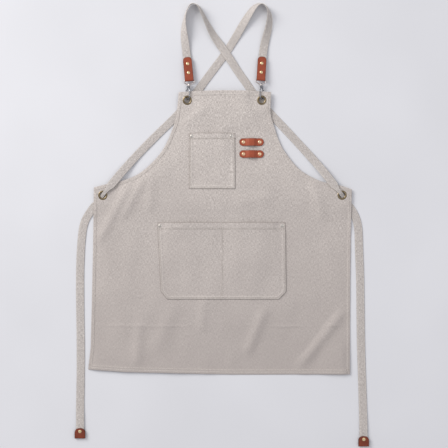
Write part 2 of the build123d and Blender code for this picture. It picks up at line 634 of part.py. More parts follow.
for side_name, (bend, bar, heading, tilt) in SNAPS.items():
    hook_plane, flat_plane = snap_planes(bend, bar, tilt)
    across = tab_planes[side_name].x_dir
    along = plan(*heading).normalized()
    bar_centre = Vector(bar[0], bar[1], TOP_MID)
    boss_middle = hook_plane.from_local_coords((0, (BOSS_FOOT + BOSS_TOP) / 2, 0))
    boss_left = boss_middle - flat_plane.x_dir * EYE_NECK
    boss_right = boss_middle + flat_plane.x_dir * EYE_NECK

    with BuildPart() as snap_eye:
        with BuildLine() as eye_path:
            FilletPolyline(
                bar_centre - across * EYE_HALF,
                bar_centre + across * EYE_HALF,
                bar_centre + across * EYE_HALF - along * SHOULDER_DROP,
                boss_right,
                boss_left,
                bar_centre - across * EYE_HALF - along * SHOULDER_DROP,
                radius=EYE_CORNERS,
                close=True,
            )
        with BuildSketch(Plane(origin=eye_path.wire() @ 0, z_dir=eye_path.wire() % 0)):
            Circle(EYE_WIRE)
        sweep()
        with BuildSketch(ring_plane(hook_plane, 0, BOSS_FOOT)):
            Circle(BOSS)
        extrude(amount=BOSS_TOP - BOSS_FOOT)
        with BuildSketch(ring_plane(hook_plane, 0, SHANK_FOOT)):
            Circle(SHANK + FIT_GAP)
        extrude(amount=HEAD_TOP - SHANK_FOOT, mode=Mode.SUBTRACT)
    save(snap_eye.part, f"{side_name}_snap_eye")

    with BuildPart() as hook:
        with BuildLine(hook_plane) as hook_path:
            FilletPolyline(*HOOK_LINE, radius=HOOK_CORNERS)
        with BuildSketch(Plane(origin=hook_path.wire() @ 0, z_dir=hook_path.wire() % 0)):
            Circle(WIRE)
        sweep()
        with Locations(hook_plane.from_local_coords((-HOOK_BEND, TIP_TOP, 0))):
            Sphere(WIRE)
        with BuildSketch(hook_plane):
            with BuildLine():
                Polyline(*WEB_OUTLINE, close=True)
            make_face()
        extrude(amount=WEB, both=True)
        with BuildSketch(ring_plane(hook_plane, -HOOK_BEND, GUIDE_FOOT)):
            Circle(GUIDE_WALL)
        extrude(amount=GUIDE_TOP - GUIDE_FOOT)
        with BuildSketch(ring_plane(hook_plane, -HOOK_BEND, GUIDE_FOOT - 1)):
            Circle(GUIDE_BORE)
        extrude(amount=GUIDE_TOP - GUIDE_FOOT + 1 - GUIDE_END, mode=Mode.SUBTRACT)
        with BuildSketch(hook_plane):
            with Locations((-HOOK_BEND - SLOT_DEPTH / 2, GUIDE_FOOT - 1.2 + SLOT_LENGTH / 2)):
                Rectangle(SLOT_DEPTH, SLOT_LENGTH)
        extrude(amount=SLOT_WIDTH / 2, both=True, mode=Mode.SUBTRACT)
        with BuildSketch(ring_plane(hook_plane, 0, SHANK_FOOT)):
            Circle(SHANK)
        extrude(amount=HEAD_TOP - GUIDE_END - SHANK_FOOT)
        with BuildSketch(ring_plane(hook_plane, 0, HEAD_FOOT)):
            Circle(HEAD)
        extrude(amount=HEAD_TOP - HEAD_FOOT)
    save(hook.part, f"{side_name}_hook")

    with BuildPart() as bolt:
        with BuildSketch(ring_plane(hook_plane, -HOOK_BEND, BOLT_FOOT)):
            Circle(BOLT)
        extrude(amount=BOLT_TOP - BOLT_FOOT)
        stud_start = hook_plane.from_local_coords((-HOOK_BEND, STUD_LEVEL, 0))
        with BuildSketch(Plane(origin=stud_start, x_dir=hook_plane.y_dir, z_dir=-hook_plane.x_dir)):
            Circle(STEM)
        extrude(amount=STEM_LENGTH)
        stud_end = hook_plane.from_local_coords((-HOOK_BEND - STUD_REACH, STUD_LEVEL, 0))
        with BuildSketch(Plane(origin=stud_end, x_dir=hook_plane.y_dir, z_dir=-hook_plane.x_dir)):
            Circle(STUD)
        extrude(amount=STUD_THICKNESS)
    save(bolt.part, f"{side_name}_bolt")

    with BuildPart() as spring:
        with BuildSketch(ring_plane(hook_plane, -HOOK_BEND, BOLT_TOP + BOLT_TRAVEL + COIL_PLAY)):
            Circle(COIL_OUTER)
            Circle(COIL_INNER, mode=Mode.SUBTRACT)
        extrude(amount=COIL_LENGTH)
    save(spring.part, f"{side_name}_spring")
    print(side_name, "hook origin", hook_plane.origin, "axis", hook_plane.y_dir)
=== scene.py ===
from math import cos, pi, radians, sin

import bmesh
import bpy
import numpy as np
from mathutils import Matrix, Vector, noise


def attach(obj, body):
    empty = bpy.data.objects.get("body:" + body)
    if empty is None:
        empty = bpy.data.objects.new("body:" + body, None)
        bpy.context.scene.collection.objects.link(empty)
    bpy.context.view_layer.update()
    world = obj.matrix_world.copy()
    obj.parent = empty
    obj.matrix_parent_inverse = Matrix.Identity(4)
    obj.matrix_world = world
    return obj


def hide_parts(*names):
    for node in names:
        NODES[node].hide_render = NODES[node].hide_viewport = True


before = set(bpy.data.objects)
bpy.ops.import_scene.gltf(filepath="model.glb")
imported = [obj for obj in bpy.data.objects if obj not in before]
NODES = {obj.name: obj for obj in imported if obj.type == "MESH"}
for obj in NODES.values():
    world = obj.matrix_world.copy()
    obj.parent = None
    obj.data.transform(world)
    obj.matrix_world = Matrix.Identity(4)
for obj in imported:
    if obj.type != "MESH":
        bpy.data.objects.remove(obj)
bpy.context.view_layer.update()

# ---------------------------------------------------------------- sizes, in metres
MM = 0.001
CLOTH = 1.2 * MM
HEM_PROUD = 0.9 * MM
SIDE_HEM = 8.5 * MM
FOOT_HEM = 13.5 * MM
STRAP_WIDTH = 20.8 * MM
STRAP_THICKNESS = 1.7 * MM
SQUEEZED_WIDTH = 9.4 * MM        # gathered inside a waist eyelet
SQUEEZED_THICKNESS = 2.8 * MM
SQUEEZE_START = 14 * MM          # from the eyelet's middle
SQUEEZE_REACH = 24 * MM
STRAP_SEAM = 0.8                 # where the strap's stitches run, as a share of its half width
STRAP_LEVEL = 1.45 * MM          # of a strap that lies under the panel
STITCH_PITCH = 3.5 * MM
STITCH_LENGTH = 2.7 * MM
STITCH_RADIUS = 0.48 * MM
STITCH_SIDES = 6
LEATHER_BEVEL = 0.35 * MM
TOP_HEM = 11 * MM
SIDE_SEAM = 7.0 * MM
FOOT_SEAM = 12.0 * MM
TOP_SEAM = 9.5 * MM
SEAM_HALF = 0.8 * MM             # half width of the groove that a seam pulls in
HEM_STEP = 1.4 * MM
POCKET_STEP = 1.2 * MM
POCKET_HEM = 8 * MM
POCKET_SEAMS = (2.6, 7.6)
POCKET_CREST = 0.75 * MM         # how far a pocket's hems stand proud
REST = 0.62 * MM                 # middle of cloth that lies on the floor

# The panel's outline, the same as the CAD panel's.
LEFT_EDGE = [
    (-347.2, -375.8), (-340.5, -319.4), (-334.2, -35.8), (-331.9, 97.1),
    (-299.1, 105.4), (-254.4, 115.6), (-206.6, 138.5), (-155.9, 190.7),
    (-124.9, 257.3), (-116.4, 296.8), (-111.7, 343.6),
]
RIGHT_EDGE = [
    (332.7, -388.6), (333.7, -162.1), (335.3, -23.0), (337.1, 91.9),
    (309.3, 101.5), (256.2, 113.5), (203.2, 142.6), (165.5, 186.8),
    (148.6, 218.0), (134.6, 260.1), (126.5, 291.1), (128.1, 343.9),
]
CORNER = 3
HEM_EDGE = [(-347.2, -375.8), (-251.8, -382.6), (30.3, -389.4), (332.7, -388.6)]
BIB_TOP = [(-111.7, 343.6), (-50.0, 346.9), (8.2, 348.3), (70.0, 347.0), (128.1, 343.9)]

# How high the panel's underside lies, from the hem to the bib's top.
LIFT = [
    (-395.0, 0.0), (-30.0, 0.0), (-14.0, 1.2), (12.0, 1.2),
    (55.0, 5.2), (262.0, 5.2), (300.0, 8.4), (355.0, 8.4),
]

# Where metal goes through the panel: x, y, height of the cloth's middle, radius held, radius free.
HELD = [
    (-89.6, 322.3, 9.0, 17.0, 45.0), (103.4, 322.5, 9.0, 17.0, 45.0),
    (-308.8, 76.3, 5.8, 15.0, 45.0), (311.9, 76.8, 5.8, 15.0, 45.0),
    (77.1, 198.7, 5.8, 38.0, 70.0),
    (-77.5, 229.7, 5.8, 7.0, 30.0), (24.5, 230.0, 5.8, 7.0, 30.0),
    (-160.0, -2.6, 1.8, 7.0, 26.0), (156.6, -3.0, 1.8, 7.0, 26.0),
]
EYELETS = HELD[:4]
EYELET_CUT = 10.0 * MM
WAIST_EYELETS = HELD[2:4]

CHEST_LEFT = [(-84.6, 93.2), (-84.6, 237.5)]
CHEST_RIGHT = [(34.5, 93.2), (34.5, 237.5)]
POUCH_LEFT = [(-142.0, -193.5), (-158.2, -173.3), (-167.8, 6.1)]
POUCH_RIGHT = [(148.6, -193.5), (167.1, -173.3), (165.5, 6.1)]
DIVIDER_X = 1.4 * MM

# The straps' routes: x, y, z in millimetres and how far the band is rolled, in degrees.
LEFT_STRAP = [
    (-85.3, 384.0, 8.28, 0), (-88.3, 414.0, 5.91, 0), (-91.8, 447.0, 3.3, 0), (-96.5, 480.0, 4.8, 18),
    (-99.0, 508.0, 9.2, 48), (-97.2, 533.0, 11.0, 72), (-91.5, 555.0, 12.0, 82), (-81.0, 573.0, 12.0, 82),
    (-62.5, 571.0, 12.0, 76), (-49.5, 546.0, 10.9, 62), (-36.5, 518.5, 9.0, 48), (-21.0, 489.0, 5.8, 24),
    (-2.5, 464.5, 3.5, 2), (23.5, 426.5, 3.5, 0), (40.5, 399.5, 1.6, 0), (64.0, 367.0, 1.15, 0),
    (92.0, 326.5, 1.1, 0), (128.0, 287.0, 1.1, 0), (167.5, 245.0, 1.3, 0), (209.0, 200.5, 1.7, 0),
    (240.0, 166.0, 3.4, 0), (262.0, 139.5, 8.2, 0), (283.0, 113.0, 9.2, 0), (297.5, 94.5, 9.9, 0),
    (307.0, 83.4, 10.7, 0), (316.3, 70.4, 1.4, 0), (324.5, 57.5, 1.5, 0), (344.0, 30.0, 1.2, 0),
    (355.0, -2.0, 1.1, 0), (356.5, -66.0, 1.1, 0), (359.6, -140.0, 1.05, 0), (360.4, -232.0, 1.1, 0),
    (361.6, -322.0, 1.05, 0), (364.8, -414.0, 1.1, 0), (367.0, -489.0, 1.4, 0), (367.9, -532.0, 3.6, 0),
    (368.2, -569.8, 3.6, 0),
]
RIGHT_STRAP = [
    (101.8, 385.0, 8.3, 0), (103.7, 415.0, 5.93, 0), (106.8, 448.0, 3.33, 0), (112.5, 478.0, 4.2, -12),
    (121.5, 510.0, 6.5, -26), (125.0, 539.0, 9.5, -46), (119.5, 561.0, 11.5, -76), (105.0, 574.3, 11.5, -80),
    (86.5, 568.0, 9.5, -52), (70.0, 545.5, 6.8, -30), (52.0, 515.0, 3.4, -11), (35.0, 485.0, 1.6, -2),
    (12.5, 448.5, 1.05, 0), (-17.5, 408.5, 1.1, 0), (-38.5, 381.0, 1.1, 0), (-62.0, 348.5, 1.1, 0),
    (-90.0, 313.0, 1.1, 0), (-122.5, 277.5, 1.1, 0), (-167.0, 235.0, 1.3, 0), (-211.5, 190.0, 1.7, 0),
    (-238.5, 160.5, 3.6, 0), (-258.8, 137.0, 8.2, 0), (-279.6, 112.0, 9.2, 0), (-293.8, 94.8, 9.9, 0),
    (-303.7, 83.1, 10.7, 0), (-313.9, 70.2, 1.4, 0), (-323.2, 58.2, 1.5, 0), (-343.0, 33.0, 1.2, 0),
    (-359.5, 4.0, 1.1, 0), (-365.8, -48.0, 1.1, 0), (-368.8, -125.0, 1.05, 0), (-368.2, -215.0, 1.1, 0),
    (-366.6, -310.0, 1.05, 0), (-366.8, -400.0, 1.1, 0), (-368.4, -470.0, 1.4, 0), (-367.9, -513.0, 3.6, 0),
    (-368.2, -549.5, 3.6, 0),
]


# ---------------------------------------------------------------- materials
def srgb(r, g, b):
    """A colour given as 0 to 255 display values, as the linear one the shader takes."""
    out = []
    for value in (r, g, b):
        c = value / 255
        out.append(c / 12.92 if c <= 0.04045 else ((c + 0.055) / 1.055) ** 2.4)
    return (*out, 1.0)


class Shader:
    """A material with its Principled shader, and short calls to add the nodes that feed it."""

    def __init__(self, name, **values):
        self.material = bpy.data.materials.new(name)
        self.material.use_nodes = True
        self.tree = self.material.node_tree
        self.out = self.tree.nodes["Principled BSDF"]
        for key, value in values.items():
            self.out.inputs[key.replace("_", " ").title()].default_value = value

    def node(self, kind, inputs=None, **settings):
        n = self.tree.nodes.new("ShaderNode" + kind)
        for key, value in settings.items():
            setattr(n, key, value)
        for key, value in (inputs or {}).items():
            if isinstance(value, bpy.types.NodeSocket):
                self.tree.links.new(value, n.inputs[key])
            else:
                n.inputs[key].default_value = value
        return n

    def link(self, socket, name):
        self.tree.links.new(socket, self.out.inputs[name])

    def coordinates(self, attribute=None):
        if attribute:
            return self.node("Attribute", attribute_name=attribute).outputs["Vector"]
        return self.node("TexCoord").outputs["Object"]

    def scaled(self, vector, x, y, z=1.0):
        return self.node("Mapping", {"Vector": vector, "Scale": (x, y, z)}).outputs["Vector"]

    def noise(self, vector, scale, detail=3.0, rough=0.5):
        inputs = {"Vector": vector, "Scale": scale, "Detail": detail, "Roughness": rough}
        return self.node("TexNoise", inputs).outputs["Fac"]

    def math(self, operation, a, b=0.0):
        return self.node("Math", {0: a, 1: b}, operation=operation).outputs["Value"]

    def ramp(self, factor, low, high, a, b):
        inputs = {"Value": factor, "From Min": low, "From Max": high, "To Min": a, "To Max": b}
        return self.node("MapRange", inputs).outputs["Result"]

    def mix(self, factor, a, b):
        n = self.node("Mix", data_type="RGBA")
        for socket, value in ((n.inputs[0], factor), (n.inputs[6], a), (n.inputs[7], b)):
            if isinstance(value, bpy.types.NodeSocket):
                self.tree.links.new(value, socket)
            else:
                socket.default_value = value
        return n.outputs[2]

    def bump(self, height, distance, strength):
        inputs = {"Height": height, "Distance": distance, "Strength": strength}
        return self.node("Bump", inputs).outputs["Normal"]


# Painted shade for seam grooves and pocket edges: the weave Z at which it is full, and its colour.
PAINTED_SHADE_FULL = 0.02
SEAM_PAINTED_SHADE = srgb(122, 112, 104)


def canvas_material(name, colour, fleck, shade, hem_darkening):
    """Heathered cotton and linen canvas.

    The weave attribute holds the place on the cloth in X and Y, which its threads run along, and
    in Z how much painted shade darkens it in seam grooves and along pocket edges, from none to full.
    """
    s = Shader(name, Roughness=0.9, Sheen_Weight=0.15, Sheen_Roughness=0.5)
    s.out.inputs["Specular IOR Level"].default_value = 0.2
    cloth = s.coordinates("weave")
    warp = s.noise(s.scaled(cloth, 1000, 150), 1.0, 2.0, 0.6)
    weft = s.noise(s.scaled(cloth, 190, 1000), 1.0, 2.0, 0.6)
    slub = s.noise(s.scaled(cloth, 420, 110), 1.0, 2.0, 0.6)
    cross_slub = s.noise(s.scaled(cloth, 130, 440), 1.0, 2.0, 0.6)
    cloud = s.noise(cloth, 8.0, 3.0, 0.55)
    threads = s.math("ADD", warp, weft)
    slubs = s.math("ADD", slub, cross_slub)
    base = s.mix(s.ramp(threads, 0.76, 1.18, 0.0, 1.0), fleck, colour)
    base = s.mix(s.ramp(slubs, 0.98, 1.3, 0.0, 0.5), base, shade)
    base = s.mix(s.ramp(cloud, 0.35, 0.7, 0.0, 0.22), base, shade)
    axes = s.node("SeparateXYZ", {"Vector": cloth})
    # Darker towards the hem.
    base = s.mix(s.ramp(axes.outputs["Y"], 0.32, -0.38, 0.0, hem_darkening), base, shade)
    # Painted shade in seam grooves and along pocket edges, read from the weave's Z.
    base = s.mix(s.ramp(axes.outputs["Z"], 0.0, PAINTED_SHADE_FULL, 0.0, 0.75), base, SEAM_PAINTED_SHADE)
    s.link(base, "Base Color")
    thread = 2 * pi / (1.05 * MM)
    over = s.math("SINE", s.math("MULTIPLY", axes.outputs["X"], thread))
    under = s.math("SINE", s.math("MULTIPLY", axes.outputs["Y"], thread))
    weave = s.math("MULTIPLY", over, under)
    height = s.math("ADD", s.math("MULTIPLY", weave, 0.22), threads)
    height = s.math("ADD", height, s.math("MULTIPLY", slubs, 0.5))
    s.link(s.bump(height, 0.25 * MM, 0.9), "Normal")
    return s.material


def leather_material(name, colour, dark, edge, gloss):
    """Vegetable-tanned leather: pores, fine grain, and tone that drifts over the piece."""
    s = Shader(name, Roughness=gloss, Coat_weight=0.06, Coat_roughness=0.4)
    s.out.inputs["Specular IOR Level"].default_value = 0.45
    place = s.coordinates()
    drift = s.noise(place, 55.0, 4.0, 0.6)
    grain = s.noise(place, 900.0, 4.0, 0.6)
    pores = s.node("TexVoronoi", {"Vector": place, "Scale": 1100.0}).outputs["Distance"]
    tone = s.mix(s.ramp(drift, 0.35, 0.7, 0.0, 0.7), colour, dark)
    tone = s.mix(s.ramp(grain, 0.45, 0.75, 0.0, 0.4), tone, dark)
    rim = s.node("AmbientOcclusion", {"Distance": 1.7 * MM}, inside=True, only_local=True, samples=8)
    tone = s.mix(s.ramp(rim.outputs["AO"], 0.55, 0.98, 0.8, 0.0), tone, edge)
    s.link(tone, "Base Color")
    s.link(s.ramp(drift, 0.3, 0.7, gloss - 0.08, gloss + 0.12), "Roughness")
    height = s.math("ADD", s.math("MULTIPLY", pores, 0.7), grain)
    s.link(s.bump(height, 0.12 * MM, 0.7), "Normal")
    return s.material


def metal_material(name, colour, worn, rough, brushed=False):
    """Plated metal with handling marks: brighter where it is rubbed, duller in patches."""
    s = Shader(name, Metallic=1.0, Roughness=rough)
    place = s.coordinates()
    patches = s.noise(place, 320.0, 4.0, 0.6)
    fine = s.noise(s.scaled(place, 1.0, 0.15 if brushed else 1.0), 2600.0, 2.0, 0.5)
    s.link(s.mix(s.ramp(patches, 0.35, 0.7, 0.0, 1.0), colour, worn), "Base Color")
    s.link(s.ramp(patches, 0.3, 0.75, rough - 0.06, rough + 0.14), "Roughness")
    s.link(s.bump(fine, 0.02 * MM, 0.5), "Normal")
    return s.material


def thread_material(name, colour, dark):
    """Twisted sewing thread."""
    s = Shader(name, Roughness=0.7, Sheen_weight=0.2)
    place = s.coordinates()
    twist = s.noise(place, 2400.0, 2.0, 0.5)
    s.link(s.mix(s.ramp(twist, 0.35, 0.65, 0.0, 1.0), dark, colour), "Base Color")
    s.link(s.bump(twist, 0.05 * MM, 0.8), "Normal")
    return s.material


CANVAS = canvas_material("canvas", srgb(230, 222, 215), srgb(158, 149, 143), srgb(174, 165, 160), 0.75)
STRAP_CANVAS = canvas_material(
    "strap_canvas", srgb(218, 211, 205), srgb(152, 144, 139), srgb(178, 171, 166), 0.0
)
THREAD = thread_material("sewing_thread", srgb(240, 235, 227), srgb(214, 206, 197))
TAN = leather_material("tan_leather", srgb(166, 78, 46), srgb(136, 60, 36), srgb(72, 30, 18), 0.6)
TAB_TAN = leather_material("tab_leather", srgb(154, 69, 38), srgb(124, 53, 30), srgb(66, 27, 16), 0.6)
TIP_TAN = leather_material("tip_leather", srgb(138, 57, 27), srgb(104, 40, 19), srgb(60, 22, 12), 0.62)
BURNISHED = leather_material("burnished_edge", srgb(96, 40, 24), srgb(70, 28, 18), srgb(60, 24, 14), 0.45)
BRASS = metal_material("antique_brass", srgb(150, 134, 108), srgb(98, 86, 66), 0.34)
RIVET_BRASS = metal_material("rivet_brass", srgb(240, 220, 178), srgb(216, 190, 142), 0.36)
COPPER = metal_material("rivet_copper", srgb(242, 212, 178), srgb(216, 172, 134), 0.38)
NICKEL = metal_material("rivet_nickel", srgb(212, 207, 200), srgb(174, 168, 160), 0.36)
GUNMETAL = metal_material("gunmetal", srgb(156, 157, 161), srgb(106, 107, 111), 0.26)
EYE_STEEL = metal_material("eye_steel", srgb(214, 206, 202), srgb(172, 162, 158), 0.3)
SPRING = metal_material("spring_steel", srgb(168, 170, 174), srgb(120, 122, 128), 0.3, True)


# ---------------------------------------------------------------- shapes of the cloth
def smooth(t):
    t = np.clip(t, 0.0, 1.0)
    return t * t * (3 - 2 * t)


def rounded(points, count=12):
    """A curve through the points, in metres, as sampled Catmull-Rom runs."""
    p = np.array(points, float) * MM
    p = np.vstack([2 * p[0] - p[1], p, 2 * p[-1] - p[-2]])
    t = np.linspace(0, 1, count, endpoint=False)[:, None]
    runs = []
    for a, b, c, d in zip(p[:-3], p[1:-2], p[2:-1], p[3:]):
        square = (2 * a - 5 * b + 4 * c - d) * t**2
        cube = (3 * b - a - 3 * c + d) * t**3
        runs.append(0.5 * (2 * b + (c - a) * t + square + cube))
    return np.vstack(runs + [p[-2:-1]])


def side_curve(points):
    """A side edge of the panel: straight up the skirt, then the curve of the armhole."""
    skirt = np.array(points[:CORNER], float) * MM
    armhole = rounded(points[CORNER:])
    return np.vstack([skirt, armhole])


LEFT_CURVE = side_curve(LEFT_EDGE)
RIGHT_CURVE = side_curve(RIGHT_EDGE)
HEM_CURVE = np.array(HEM_EDGE) * MM
TOP_CURVE = rounded(BIB_TOP)


def along_y(curve, y):
    return np.interp(y, np.maximum.accumulate(curve[:, 1]), curve[:, 0])


def along_x(curve, x):
    return np.interp(x, curve[:, 0], curve[:, 1])


def distance_to(x, y, curve):
    """Distance from each point to a line of points."""
    found = np.full(x.shape, 9.0)
    for a, b in zip(curve[:-1, :2], curve[1:, :2]):
        run = b - a
        t = np.clip(((x - a[0]) * run[0] + (y - a[1]) * run[1]) / max(run @ run, 1e-12), 0, 1)
        found = np.minimum(found, np.hypot(x - a[0] - t * run[0], y - a[1] - t * run[1]))
    return found


def waves(x, y, length, seed):
    """Smooth unevenness, about -1 to 1, whose bumps are about length across."""
    flat_x = np.ravel(x) / length
    flat_y = np.ravel(y) / length
    values = [noise.noise(Vector((a, b, seed))) for a, b in zip(flat_x, flat_y)]
    return np.array(values).reshape(np.shape(x)) * 1.7


def held_share(x, y):
    """How firmly each point is held by metal through the cloth, and at what height."""
    share = np.zeros(x.shape)
    level = np.zeros(x.shape)
    for cx, cy, cz, inner, outer in HELD:
        r = np.hypot(x - cx * MM, y - cy * MM)
        w = 1 - smooth((r - inner * MM) / ((outer - inner) * MM))
        level += w * cz * MM
        share += w
    return np.clip(share, 0, 1), level / np.maximum(share, 1e-9)


def crease(x, y, start, end, width, height):
    """A soft ridge or valley along a line that fades at both ends."""
    a = np.array(start) * MM
    run = np.array(end) * MM - a
    length = np.hypot(*run)
    along = ((x - a[0]) * run[0] + (y - a[1]) * run[1]) / length
    across = ((x - a[0]) * -run[1] + (y - a[1]) * run[0]) / length
    fade = smooth(along / (0.25 * length)) * smooth((length - along) / (0.25 * length))
    return height * MM * fade * np.exp(-((across / (width * MM)) ** 2))


# Creases from packing and pulls from the waist eyelets: start, end, half width and height.
CREASES = (
    ((-340, -262), (-60, -264), 2.4, 1.0),
    ((100, -264), (345, -262), 2.4, 1.0),
    ((-228, 124), (-330, -62), 13.0, 3.6),
    ((-192, 138), (-268, 0), 12.0, 3.0),
    ((-178, 138), (-190, 20), 12.0, 1.6),
    ((232, 128), (268, 0), 14.0, 2.4),
    ((330, -206), (188, -384), 14.0, 4.6),
    ((292, -206), (176, -350), 20.0, -2.6),
    ((116, -206), (58, -352), 14.0, 3.6),
    ((-46, -176), (-54, -290), 14.0, 2.4),
    ((-212, -240), (-224, -386), 15.0, 3.0),
    ((-110, -190), (-186, -350), 20.0, 2.4),
    ((60, 330), (118, 262), 9.0, -1.0),
    ((-110, 250), (-20, 318), 12.0, 1.2),
    ((20, 60), (150, 74), 16.0, 1.4),
)
STRAP_LINES = []    # where the straps lie under the panel, filled in once they are made


def panel_height(x, y):
    """Height of the middle of the panel's cloth, with its swells, creases and what it lies on."""
    lift_y = np.array([p[0] for p in LIFT]) * MM
    lift_z = np.array([p[1] for p in LIFT]) * MM
    base = sum(np.interp(y + d * MM, lift_y, lift_z) for d in (-14, -7, 0, 7, 14)) / 5 + REST
    edge = np.minimum(distance_to(x, y, LEFT_CURVE), distance_to(x, y, RIGHT_CURVE))
    inner = smooth(edge / 0.050)
    z = REST + (base - REST) * (0.5 + 0.5 * inner)
    ease = 0.45 + 0.55 * smooth(edge / 0.02)
    swell = 2.6 * waves(x, y, 0.15, 3.1) + 0.9 * waves(x * 1.4, y, 0.06, 7.7) + 1.6
    lower = smooth((-0.02 - y) / 0.12)
    drape = 2.2 * lower * waves(x + 0.55 * y, 0.25 * y, 0.075, 12.4)
    z += MM * ease * np.maximum(swell + drape, 0.0)
    for start, end, width, height in CREASES:
        z += crease(x, y, start, end, width, height)
    share, level = held_share(x, y)
    z = z * (1 - share) + level * share
    top = STRAP_LEVEL + STRAP_THICKNESS / 2 + MM
    for line in STRAP_LINES:
        near = distance_to(x, y, line)
        z = np.maximum(z, top - 0.12 * np.maximum(near - 0.011, 0))
    return np.maximum(z, REST)


# ---------------------------------------------------------------- meshes
def mesh_object(name, vertices, faces, material):
    """A smooth-shaded mesh that rides the apron."""
    mesh = bpy.data.meshes.new(name)
    mesh.from_pydata([tuple(v) for v in vertices], [], faces)
    mesh.validate()
    mesh.polygons.foreach_set("use_smooth", [True] * len(mesh.polygons))
    obj = bpy.data.objects.new(name, mesh)
    bpy.context.scene.collection.objects.link(obj)
    mesh.materials.append(material)
    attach(obj, "apron")
    return obj


def set_weave(obj, values):
    """Stores where each vertex lies in the flat cloth."""
    attribute = obj.data.attributes.new("weave", "FLOAT_VECTOR", "POINT")
    attribute.data.foreach_set("vector", np.asarray(values, np.float32).ravel())


def stations(start, end, coarse, fine, margin):
    """Positions from start to end, close together within margin of both ends."""
    first = np.arange(start, start + margin, fine)
    last = end - (first - start)
    count = max(2, int((end - start - 2 * margin) / coarse))
    middle = np.linspace(first[-1] + fine, last[-1] - fine, count)
    return np.concatenate([first, middle, last[::-1]])


def cloth_grid(name, x, y, z, half, material, weave, holes=()):
    """A sheet with two faces and a rim, from grids of its middle and its half thickness."""
    rows, columns = x.shape
    top = np.stack([x, y, z + half[0]], axis=-1).reshape(-1, 3)
    under = np.stack([x, y, z - half[1]], axis=-1).reshape(-1, 3)
    index = np.arange(rows * columns).reshape(rows, columns)
    keep = np.ones((rows - 1, columns - 1), bool)
    cx = (x[:-1, :-1] + x[1:, 1:]) / 2
    cy = (y[:-1, :-1] + y[1:, 1:]) / 2
    for hx, hy, radius in holes:
        keep &= np.hypot(cx - hx, cy - hy) > radius
    faces = []
    total = rows * columns
    for r, c in zip(*np.nonzero(keep)):
        a, b, d, e = index[r, c], index[r, c + 1], index[r + 1, c + 1], index[r + 1, c]
        faces.append((a, b, d, e))
        faces.append((e + total, d + total, b + total, a + total))
    rim = np.concatenate([index[0, :], index[1:, -1], index[-1, -2::-1], index[-2:0:-1, 0]])
    for a, b in zip(rim, np.roll(rim, -1)):
        faces.append((b, a, a + total, b + total))
    obj = mesh_object(name, np.vstack([top, under]), faces, material)
    set_weave(obj, np.vstack([weave, weave]))
    return obj


def bevelled_rim(distance, reach):
    """Thickness share near an edge, for a folded, rounded rim."""
    t = np.clip(distance / reach, 0, 1)
    return np.sqrt(np.clip(1 - (1 - t) ** 2, 0.02, 1))


def stitches(name, points, ups):
    """Short rounded pieces of thread, half sunk in the cloth, along a line of points."""
    points = np.asarray(points, float)
    ups = np.asarray(ups, float)
    steps = np.linalg.norm(np.diff(points, axis=0), axis=1)
    travelled = np.concatenate([[0], np.cumsum(steps)])
    count = int(travelled[-1] / STITCH_PITCH)
    vertices = []
    faces = []
    shape = [(-0.5, 0.35), (-0.34, 0.92), (0.0, 1.0), (0.34, 0.92), (0.5, 0.35)]
    for i in range(count):
        middle = (i + 0.5) * STITCH_PITCH
        ends = []
        for s in (middle - STITCH_LENGTH / 2, middle + STITCH_LENGTH / 2):
            ends.append(np.array([np.interp(s, travelled, points[:, k]) for k in range(3)]))
        up = np.array([np.interp(middle, travelled, ups[:, k]) for k in range(3)])
        run = ends[1] - ends[0]
        size = np.linalg.norm(run)
        if size < 1e-6:
            continue
        side = np.cross(run / size, up)
        side /= np.linalg.norm(side)
        first = len(vertices)
        centre = (ends[0] + ends[1]) / 2
        for share, swell in shape:
            sunk = up * STITCH_RADIUS * (0.25 - 1.6 * abs(share) ** 2)
            for k in range(STITCH_SIDES):
                angle = 2 * pi * k / STITCH_SIDES
                ring = side * cos(angle) + up * sin(angle)
                vertices.append(centre + run * share + sunk + ring * STITCH_RADIUS * swell)
        for j in range(len(shape) - 1):
            for k in range(STITCH_SIDES):
                a = first + j * STITCH_SIDES + k
                b = first + j * STITCH_SIDES + (k + 1) % STITCH_SIDES
                faces.append((a, b, b + STITCH_SIDES, a + STITCH_SIDES))
        faces.append(tuple(first + k for k in reversed(range(STITCH_SIDES))))
        last = first + (len(shape) - 1) * STITCH_SIDES
        faces.append(tuple(last + k for k in range(STITCH_SIDES)))
    return mesh_object(name, vertices, faces, THREAD)


# ---------------------------------------------------------------- the straps
def centreline(name, route):
    """Points along the route's own smooth curve, and the roll at each, in radians."""
    data = bpy.data.curves.new(name, "CURVE")
    data.dimensions = "3D"
    data.resolution_u = 14
    spline = data.splines.new("NURBS")
    spline.points.add(len(route) - 1)
    for point, (x, y, z, _) in zip(spline.points, route):
        point.co = (x * MM, y * MM, z * MM, 1.0)
    spline.order_u = 3
    spline.use_endpoint_u = True
    curve = bpy.data.objects.new(name, data)
    bpy.context.scene.collection.objects.link(curve)
    bpy.context.view_layer.update()
    mesh = bpy.data.meshes.new_from_object(curve)
    points = np.array([v.co for v in mesh.vertices], float).reshape(-1, 3)
    bpy.data.objects.remove(curve)
    bpy.data.meshes.remove(mesh)
    turn = np.linspace(0, len(route) - 2, len(points))
    knots = np.concatenate([[0], np.arange(1, len(route) - 1) - 0.5, [len(route) - 2]])
    rolls = np.interp(turn, knots, [radians(p[3]) for p in route])
    return points, rolls


def band_frames(points, rolls):
    """The directions across and out of the band at each point."""
    heading = np.gradient(points, axis=0)
    heading /= np.linalg.norm(heading, axis=1)[:, None]
    level = np.cross(heading, [0, 0, 1.0])
    level /= np.linalg.norm(level, axis=1)[:, None]
    standing = np.cross(level, heading)
    across = level * np.cos(rolls)[:, None] + standing * np.sin(rolls)[:, None]
    normal = np.cross(across, heading)
    return across, normal


